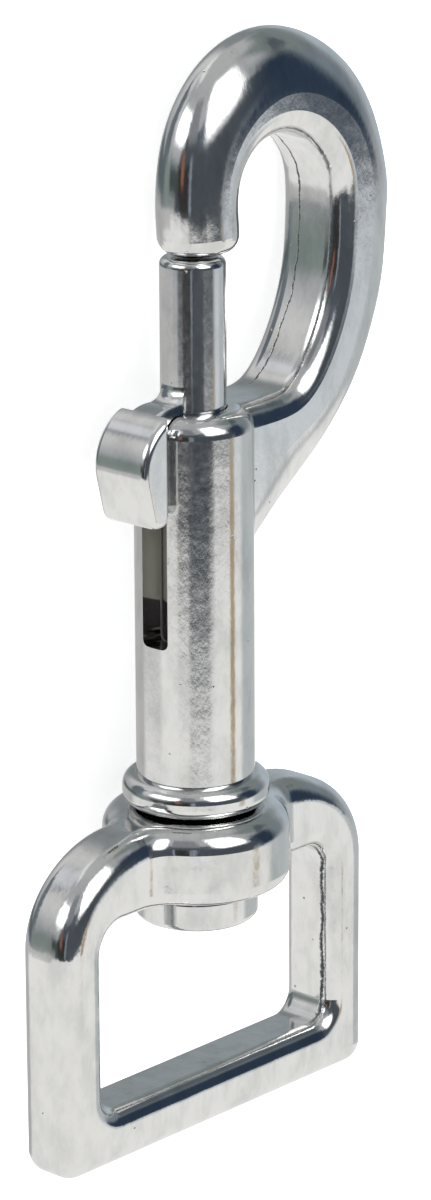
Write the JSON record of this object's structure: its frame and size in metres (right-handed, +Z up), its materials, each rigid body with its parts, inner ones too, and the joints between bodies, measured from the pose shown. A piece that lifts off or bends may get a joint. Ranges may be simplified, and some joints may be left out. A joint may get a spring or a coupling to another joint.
{
  "type": "swivel bolt snap",
  "caption": "Die-cast swivel bolt snap: a hook closed by a sprung sliding bolt with a thumb lever, on a swivelling square eye for a strap.",
  "frame": {"origin": "on the ground, under the middle of the snap's box as it lies on its side", "axes": "+Y along the snap towards the hook, +X towards the hook's back in the plane of the hook, +Z up. The long axis of barrel, bolt and swivel rises a few degrees from the hook to the strap eye, because the hub of the eye is thicker than the hook."},
  "size_m": [0.037, 0.0832, 0.0144],
  "materials": {
    "plating": "bright nickel plating over a zinc casting, slightly uneven from the mould",
    "spring_steel": "drawn steel wire"
  },
  "bodies": {
    "snap": {"hook_body": "plating", "swivel_rivet": "plating", "bolt_spring": "spring_steel"},
    "sliding_bolt": {"bolt": "plating"},
    "strap_eye": {"swivel_eye": "plating"}
  },
  "joints": [
    {"name": "bolt_slide", "type": "slide", "parent": "snap", "child": "sliding_bolt", "axis": [0, -0.9975, 0.0706], "range_m": [0, 0.0108], "stiffness_N_per_m": 700, "springref_m": -0.004, "deforming": ["bolt_spring"]},
    {"name": "eye_swivel", "type": "hinge", "parent": "snap", "child": "strap_eye", "pos_m": [-0.00161, -0.01916, 0.00717], "axis": [0, 0.9975, -0.0706], "continuous": true}
  ]
}
